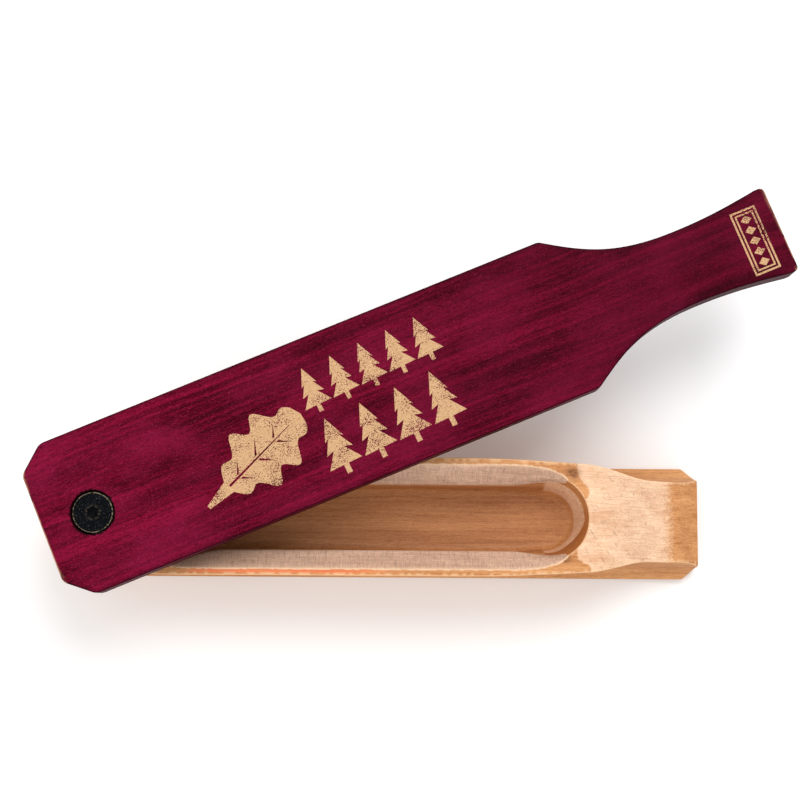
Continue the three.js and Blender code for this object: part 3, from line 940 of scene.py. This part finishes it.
def paddle():
    skin = newSkin()
    outline = lidOutline()
    topRound, bottomRound = lid["topRound"], lid["bottomRound"]
    ends = [1.0 if u < 1 - lid["rear"] or u > lid["front"] - 1 else 0.0 for u, v in outline]
    rows = []
    # painted shade along the rounded top edge, through the edge mark
    for a in spread(0, math.pi / 2, 4):
        loop = insetLoop(outline, topRound * (1 - math.sin(a))) if a < math.pi / 2 else outline
        z = lid["topZ"] - topRound * (1 - math.cos(a))
        worn = [end * (1.0 if 0.3 < a < 1.3 else 0.35) for end in ends]
        paintedEdgeShade = 0.55 + 0.35 * math.sin(2 * a)
        rows.append(addPoints(skin, [(u, v, z) for u, v in loop], edge=paintedEdgeShade, rubbed=worn))
    start = lid["topZ"] - topRound
    # painted shade on the lid's sides, through the edge mark
    for share in spread(0, 1, 8)[1:]:
        points = [(u, v, start + (undersideZ(u, v) + bottomRound - start) * share) for u, v in outline]
        rows.append(addPoints(skin, points, edge=0.5 + 0.25 * share, rubbed=0.0))
    for a in spread(0, math.pi / 2, 4)[1:]:
        loop = insetLoop(outline, bottomRound * (1 - math.cos(a)))
        row = []
        for (u, v), (u0, v0) in zip(loop, outline):
            z = undersideZ(u0, v0) + bottomRound * (1 - math.sin(a))
            row.append((u, v, undersideZ(u, v) if a == math.pi / 2 else z))
        rows.append(addPoints(skin, row, edge=0.5, rubbed=0.0))
    joinAll(skin, rows)
    # pivot hole: counterbore from the top, clearance hole through the floor
    bore, hole, floorZ, top = lid["boreRadius"], lid["holeRadius"], lid["boreFloorZ"], lid["topZ"]
    bevel, sides, grid = lid["boreBevel"], lid["holeSides"], lid["grid"]
    rings = [(bore + bevel, top), (bore + 0.09, top - 0.09), (bore, top - bevel), (bore, floorZ + 0.4),
             (bore - 0.4, floorZ), (hole + bevel, floorZ), (hole, floorZ - bevel)]
    holeRows = []
    # painted shade on the walls of the pivot hole, through the full edge mark
    for radius, z in rings:
        loop = [(u, v, z) for u, v in circle(0, 0, radius, sides)]
        holeRows.append(addPoints(skin, loop, edge=1.0, rubbed=0.0))
    for radius, lift in ((hole, bevel), (hole + bevel, 0.0)):
        loop = [(u, v, undersideZ(u, v) + lift) for u, v in circle(0, 0, radius, sides)]
        holeRows.append(addPoints(skin, loop, edge=0.9, rubbed=0.0))
    joinAll(skin, holeRows)
    marks = printLoops()

    def finishAt(point):
        return sum(inside(point, loop) for loop in marks) % 2

    rim = insetLoop(outline, topRound)
    fillBetween(skin, rim, [circle(0, 0, bore + bevel, sides)], lambda u, v: top, grid,
                guides=[insetLoop(outline, 1.5), circle(0, 0, bore + 1.0, sides), *marks],
                finishAt=finishAt, marksAt=lidMarks)
    fillBetween(skin, insetLoop(outline, bottomRound), [circle(0, 0, hole + bevel, sides)], undersideZ,
                grid, marksAt=lambda flat: {"edge": 0.25, "rubbed": 0.0})
    return makeMesh("paddle_lid", skin, [dyedWood, creamPrint], lidPlace)


print("lid")
paddleLid = paddle()


# pivot hardware

def geometryTree(name, entries, kinds, wires):
    # a node group with named entries, and a wire from each output to the input beside it
    tree = bpy.data.node_groups.new(name, "GeometryNodeTree")
    names = {}
    for label, kind in entries.items():
        socket = tree.interface.new_socket(label, in_out="INPUT", socket_type="NodeSocket" + kind)
        names[label] = socket.identifier
    tree.interface.new_socket("Geometry", in_out="OUTPUT", socket_type="NodeSocketGeometry")
    nodes = {label: tree.nodes.new(kind) for label, kind in kinds.items()}
    nodes["given"] = tree.nodes.new("NodeGroupInput")
    nodes["result"] = tree.nodes.new("NodeGroupOutput")
    for source, output, target, entry in wires:
        tree.links.new(nodes[source].outputs[output], nodes[target].inputs[entry])
    return tree, names, nodes


def coilTree():
    # a round wire wound round Z, with its ends closed
    tree, names, nodes = geometryTree("wound_wire", {
        "Coil radius": "Float", "Wire radius": "Float", "Turns": "Float", "Height": "Float",
        "Start": "Vector", "Steps per turn": "Int", "Sides": "Int", "Finish": "Material",
    }, {
        "spiral": "GeometryNodeCurveSpiral", "section": "GeometryNodeCurvePrimitiveCircle",
        "sweep": "GeometryNodeCurveToMesh", "shift": "GeometryNodeTransform",
        "solid": "GeometryNodeRealizeInstances", "smooth": "GeometryNodeSetShadeSmooth",
        "paint": "GeometryNodeSetMaterial",
    }, (
        ("given", "Steps per turn", "spiral", "Resolution"), ("given", "Turns", "spiral", "Rotations"),
        ("given", "Coil radius", "spiral", "Start Radius"),
        ("given", "Coil radius", "spiral", "End Radius"),
        ("given", "Height", "spiral", "Height"), ("given", "Sides", "section", "Resolution"),
        ("given", "Wire radius", "section", "Radius"), ("spiral", "Curve", "sweep", "Curve"),
        ("section", "Curve", "sweep", "Profile Curve"), ("sweep", "Mesh", "shift", "Geometry"),
        ("given", "Start", "shift", "Translation"), ("shift", "Geometry", "solid", "Geometry"),
        ("solid", "Geometry", "smooth", "Geometry"), ("smooth", "Geometry", "paint", "Geometry"),
        ("given", "Finish", "paint", "Material"), ("paint", "Geometry", "result", "Geometry"),
    ))
    nodes["sweep"].inputs["Fill Caps"].default_value = True
    return tree, names


def ribTree():
    # upright ribs set round a turned body
    return geometryTree("knurl_ribs", {
        "Ring radius": "Float", "Ribs": "Int", "Rib size": "Vector", "Middle": "Vector",
        "Finish": "Material",
    }, {
        "ring": "GeometryNodeMeshCircle", "rib": "GeometryNodeMeshCube",
        "where": "GeometryNodeInputPosition", "aim": "FunctionNodeAlignEulerToVector",
        "plant": "GeometryNodeInstanceOnPoints",
        "shift": "GeometryNodeTransform", "solid": "GeometryNodeRealizeInstances",
        "paint": "GeometryNodeSetMaterial",
    }, (
        ("given", "Ribs", "ring", "Vertices"), ("given", "Ring radius", "ring", "Radius"),
        ("given", "Rib size", "rib", "Size"), ("where", "Position", "aim", "Vector"),
        ("ring", "Mesh", "plant", "Points"), ("rib", "Mesh", "plant", "Instance"),
        ("aim", "Rotation", "plant", "Rotation"), ("plant", "Instances", "shift", "Geometry"),
        ("given", "Middle", "shift", "Translation"), ("shift", "Geometry", "solid", "Geometry"),
        ("solid", "Geometry", "paint", "Geometry"), ("given", "Finish", "paint", "Material"),
        ("paint", "Geometry", "result", "Geometry"),
    ))[:2]


def fromNodes(name, treeAndNames, values):
    # runs a node tree on an empty mesh and keeps the plain result
    tree, names = treeAndNames
    carrier = bpy.data.objects.new(name + "_source", bpy.data.meshes.new(name + "_source"))
    bpy.context.scene.collection.objects.link(carrier)
    modifier = carrier.modifiers.new("make", "NODES")
    modifier.node_group = tree
    for label, value in values.items():
        modifier[names[label]] = value
    depsgraph = bpy.context.evaluated_depsgraph_get()
    made = carrier.evaluated_get(depsgraph)
    mesh = bpy.data.meshes.new_from_object(made, depsgraph=depsgraph)
    bpy.data.objects.remove(carrier)
    mesh.name = name
    piece = bpy.data.objects.new(name, mesh)
    bpy.context.scene.collection.objects.link(piece)
    print(f"{name}: {len(mesh.polygons)} faces")
    return piece


screw = {
    "topZ": high["pivot_screw"].z, "endZ": low["pivot_screw"].z, "headRadius": high["pivot_screw"].y,
    "headHeight": 2.4, "shankRadius": 3.0, "rootRadius": 2.62, "pitch": 1.0, "plain": 2.2,
    "chamfer": 0.3, "socket": 2.0, "socketDepth": 1.7, "ridge": 0.34, "ridgeOut": 0.04,
    "ridgeSides": 4, "stepsPerTurn": 30,
}


def screwBody():
    top, end, head, shank = screw["topZ"], screw["endZ"], screw["headRadius"], screw["shankRadius"]
    under, root, cut = top - screw["headHeight"], screw["rootRadius"], screw["chamfer"]
    hexHalf, hexFloor = screw["socket"], top - screw["socketDepth"]
    profile = [
        (1.9, end), (2.3, end + 0.1), (root, end + 0.6), (root, under - screw["plain"] - 0.4),
        (shank, under - screw["plain"]), (shank, under - 0.3), (shank + 0.1, under - 0.08),
        (shank + 0.35, under), (head - 0.25, under), (head - 0.06, under + 0.08), (head, under + 0.25),
        (head, top - cut - 0.06), (head - 0.03, top - cut), (head - cut, top - 0.03),
        (head - cut - 0.08, top), (head * 0.7, top), (3.1, top), (hexHalf + 0.16, top),
        (hexHalf, top - 0.14), (hexHalf, hexFloor), (hexHalf * 0.82, hexFloor - 0.05),
        (0.7, hexFloor - 0.4),
    ]
    worn = {12: 1.0, 13: 1.0, 17: 0.12, 18: 0.2}  # head's edge and socket's mouth
    return turnedPiece("allen_screw", profile, blackOxide, wornAt=worn, hexAt=(17, 18, 19, 20))


def roundedRing(name, nodeName, innerRadius, roundness, material):
    bottom, top, outer = low[nodeName].z + roundness, high[nodeName].z - roundness, high[nodeName].y
    near, far = innerRadius + roundness, outer - roundness
    profile = []
    for r, z, start in ((far, bottom, -90), (far, top, 0), (near, top, 90), (near, bottom, 180)):
        for degrees in spread(start, start + 90, 3):
            a = math.radians(degrees)
            profile.append((r + roundness * math.cos(a), z + roundness * math.sin(a)))
    return turnedPiece(name, profile, material, closedProfile=True)


print("pivot hardware")
coil = coilTree()
allenScrew = screwBody()
threadFrom = screw["endZ"] + 0.9
threadTo = screw["topZ"] - screw["headHeight"] - screw["plain"] - 0.6
screwThread = fromNodes("screw_thread", coil, {
    "Coil radius": (screw["rootRadius"] + screw["ridgeOut"]) * mm, "Wire radius": screw["ridge"] * mm,
    "Turns": (threadTo - threadFrom) / screw["pitch"], "Height": (threadTo - threadFrom) * mm,
    "Start": (pivotX * mm, 0, threadFrom * mm), "Steps per turn": screw["stepsPerTurn"],
    "Sides": screw["ridgeSides"], "Finish": blackOxide,
})

spring = {
    "bottomZ": low["tension_spring"].z, "topZ": high["tension_spring"].z,
    "coilRadius": 5.6, "wire": 0.4, "turns": 3.0, "gap": 0.05, "sides": 16, "stepsPerTurn": 64,
}
springLength = spring["topZ"] - spring["bottomZ"]
springCoil = fromNodes("spring_coil", coil, {
    "Coil radius": spring["coilRadius"] * mm, "Wire radius": spring["wire"] * mm,
    "Turns": spring["turns"], "Height": (springLength - 2 * spring["wire"] - 2 * spring["gap"]) * mm,
    "Start": (pivotX * mm, 0, (spring["bottomZ"] + spring["wire"] + spring["gap"]) * mm),
    "Steps per turn": spring["stepsPerTurn"], "Sides": spring["sides"], "Finish": springWire,
})

washerBore = 3.35
headWasher = roundedRing("washer_under_head", "head_washer", washerBore, 0.14, zincPlate)
seatWasher = roundedRing("washer_on_seat", "seat_washer", washerBore, 0.18, zincPlate)
pivotSleeve = roundedRing("nylon_sleeve", "pivot_sleeve", washerBore, 0.2, whiteNylon)
thrustWasher = roundedRing("nylon_thrust_washer", "thrust_washer", washerBore, 0.25, blackNylon)

insert = {
    "topZ": high["threaded_insert"].z, "endZ": low["threaded_insert"].z, "bore": 3.35,
    "body": 4.55, "flange": high["threaded_insert"].y, "flangeHeight": 1.0,
    "ribs": 40, "rib": (0.24, 0.34, 9.0), "ribsAt": 6.4,
}


def insertBody():
    top, end, bore, body = insert["topZ"], insert["endZ"], insert["bore"], insert["body"]
    flange, under = insert["flange"], top - insert["flangeHeight"]
    profile = [
        (bore, end), (body - 0.25, end), (body, end + 0.4), (body, under - 0.15), (body + 0.1, under),
        (flange - 0.12, under), (flange, under + 0.12), (flange, top - 0.15), (flange - 0.15, top),
        (bore + 0.25, top), (bore, top - 0.25),
    ]
    return turnedPiece("brass_insert", profile, turnedBrass, closedProfile=True)


brassInsert = insertBody()
insertKnurl = fromNodes("insert_knurl", ribTree(), {
    "Ring radius": (insert["body"] + 0.01) * mm, "Ribs": insert["ribs"],
    "Rib size": [side * mm for side in insert["rib"]],
    "Middle": (pivotX * mm, 0, (insert["endZ"] + insert["ribsAt"]) * mm), "Finish": turnedBrass,
})


# frame: what stands for what, and what moves with what

for piece, body, nodeName, slot in (
    (routedBox, "box", "sound_box", "pale_wood"),
    (brassInsert, "box", "threaded_insert", "insert_brass"),
    (insertKnurl, "box", "threaded_insert", "insert_brass"),
    (thrustWasher, "box", "thrust_washer", "black_nylon"),
    (springCoil, "box", "tension_spring", "spring_steel"),
    (pivotSleeve, "collar", "pivot_sleeve", "white_nylon"),
    (seatWasher, "collar", "seat_washer", "washer_steel"),
    (headWasher, "head_washer", "head_washer", "washer_steel"),
    (allenScrew, "screw", "pivot_screw", "black_screw"),
    (screwThread, "screw", "pivot_screw", "black_screw"),
    (paddleLid, "lid", "lid_paddle", "dyed_wood"),
):
    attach(piece, body)
    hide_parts(nodeName)
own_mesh(springCoil)


# floor, light and camera

print("stage")


def flatPlane(name, size, z):
    mesh = bpy.data.meshes.new(name)
    corners = [(-size, -size, z), (size, -size, z), (size, size, z), (-size, size, z)]
    mesh.from_pydata(corners, [], [(0, 1, 2, 3)])
    plane = bpy.data.objects.new(name, mesh)
    bpy.context.scene.collection.objects.link(plane)
    return plane


floor = flatPlane("pale_floor", 6.0, 0.0)
floorMaterial, floorTree, floorShader = newMaterial("floor_white")
floorShader.inputs["Base Color"].default_value = (0.93, 0.93, 0.93, 1)
floorShader.inputs["Roughness"].default_value = 0.9
floorShader.inputs["Specular IOR Level"].default_value = 0.1
floor.data.materials.append(floorMaterial)

light = {"aim": (0, 0, 0.03), "world": 0.86}


def softLight(name, place, size, power):
    data = bpy.data.lights.new(name, "AREA")
    data.shape = "DISK"
    data.size = size
    data.energy = power
    lamp = bpy.data.objects.new(name, data)
    lamp.location = place
    lamp.rotation_euler = (Vector(light["aim"]) - Vector(place)).to_track_quat("-Z", "Y").to_euler()
    bpy.context.scene.collection.objects.link(lamp)


softLight("key_light", (0.25, 0.70, 1.20), size=0.9, power=10.5)
softLight("fill_light", (-0.9, -0.5, 1.1), size=1.2, power=5.2)
world = bpy.data.worlds.new("soft_room")
world.use_nodes = True
sky = world.node_tree.nodes["Background"]
sky.inputs["Color"].default_value = (1, 1, 1, 1)
sky.inputs["Strength"].default_value = light["world"]
bpy.context.scene.world = world
bpy.context.scene.view_settings.view_transform = "Standard"

view = {"fromPivot": (108.5, -33.3), "aboveLid": 600.2, "tilt": 7.03, "roll": 0.39,
        "lens": 76.36, "sensor": 36}
cameraData = bpy.data.cameras.new("bench_camera")
cameraData.lens = view["lens"]
cameraData.sensor_width = view["sensor"]
camera = bpy.data.objects.new("bench_camera", cameraData)
cameraX, cameraY = view["fromPivot"]
cameraPlace = Vector((pivotX + cameraX, cameraY, lid["topZ"] + view["aboveLid"])) * mm
tilt = Matrix.Rotation(math.radians(view["tilt"]), 4, "X")
roll = Matrix.Rotation(math.radians(view["roll"]), 4, "Z")
camera.matrix_world = Matrix.Translation(cameraPlace) @ tilt @ roll
bpy.context.scene.collection.objects.link(camera)
bpy.context.scene.camera = camera
